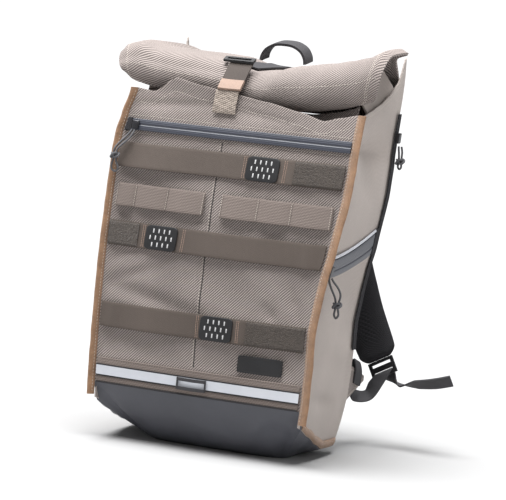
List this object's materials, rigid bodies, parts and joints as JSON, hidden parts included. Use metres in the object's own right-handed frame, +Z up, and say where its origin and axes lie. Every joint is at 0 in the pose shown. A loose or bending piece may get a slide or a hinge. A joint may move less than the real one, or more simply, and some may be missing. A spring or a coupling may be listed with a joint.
{
  "type": "bicycle messenger backpack",
  "caption": "Roll-top rucksack of twill panels on a coated bottom, with elastic front straps, loop rows, a coated side zip, a hook-and-strap closure and padded shoulder straps",
  "frame": {"origin": "on the floor under the flat bottom, where the bag stands by itself", "axes": "+Z up; the front panel looks along -Y and the wearer's back is at +Y; +X is the viewer's right when the front is seen"},
  "size_m": [0.4007, 0.2567, 0.4678],
  "materials": {
    "twill": "coarse diagonal twill, grey-brown",
    "side_cloth": "finer and paler cloth",
    "suede": "brushed brown leather binding",
    "elastic": "ribbed elastic strap",
    "pile": "fuzzy loop pile",
    "ribbon": "ribbed tape",
    "rubber": "black moulded rubber or plastic",
    "reflective": "bright reflective tape",
    "coated_zip": "coated zip, satin sheen",
    "tarpaulin": "charcoal coated tarpaulin, low sheen",
    "black_cloth": "black mesh and cloth",
    "webbing": "dark woven webbing and cord",
    "metal": "bright slider",
    "cream_loop": "cream textured loop cloth",
    "tan_band": "tan leather keeper"
  },
  "bodies": {
    "root": {"front_panel": "twill", "side_panel_right": "side_cloth", "side_panel_left": "side_cloth", "back_panel": "black_cloth", "boot": "tarpaulin", "roll_top": "twill", "throat_panel": "twill", "gusset_right": "side_cloth", "gusset_left": "side_cloth", "binding_right": "suede", "binding_left": "suede", "boot_binding_right": "suede", "boot_binding_left": "suede", "upper_strap": "elastic", "upper_tab": "rubber", "upper_patch": "pile", "middle_strap": "elastic", "middle_tab": "rubber", "middle_patch": "pile", "lower_strap": "elastic", "lower_tab": "rubber", "lower_patch": "pile", "loop_row_left": "ribbon", "loop_row_right": "ribbon", "label_patch": "rubber", "hem_band": "ribbon", "reflective_tape": "reflective", "light_loop": "webbing", "front_zip": "coated_zip", "front_zip_garage": "black_cloth", "front_zip_slider": "metal", "front_zip_cord": "webbing", "front_zip_knot": "webbing", "side_zip": "coated_zip", "side_piping": "reflective", "side_zip_slider": "metal", "side_zip_stop": "black_cloth", "side_zip_cord": "webbing", "side_zip_knot": "webbing", "back_zip": "black_cloth", "back_zip_slider": "metal", "back_zip_cord": "webbing", "back_zip_knot": "webbing", "closure_loop": "cream_loop", "closure_band": "tan_band", "closure_strap": "elastic", "closure_hook": "rubber", "closure_back_strap": "webbing", "carry_handle": "webbing", "shoulder_pad_right": "black_cloth", "shoulder_pad_left": "black_cloth", "wing_tab_right": "twill", "wing_tab_left": "twill", "ladder_lock_right": "rubber", "ladder_lock_left": "rubber", "lower_webbing_right": "webbing", "lower_webbing_left": "webbing"}
  },
  "joints": []
}
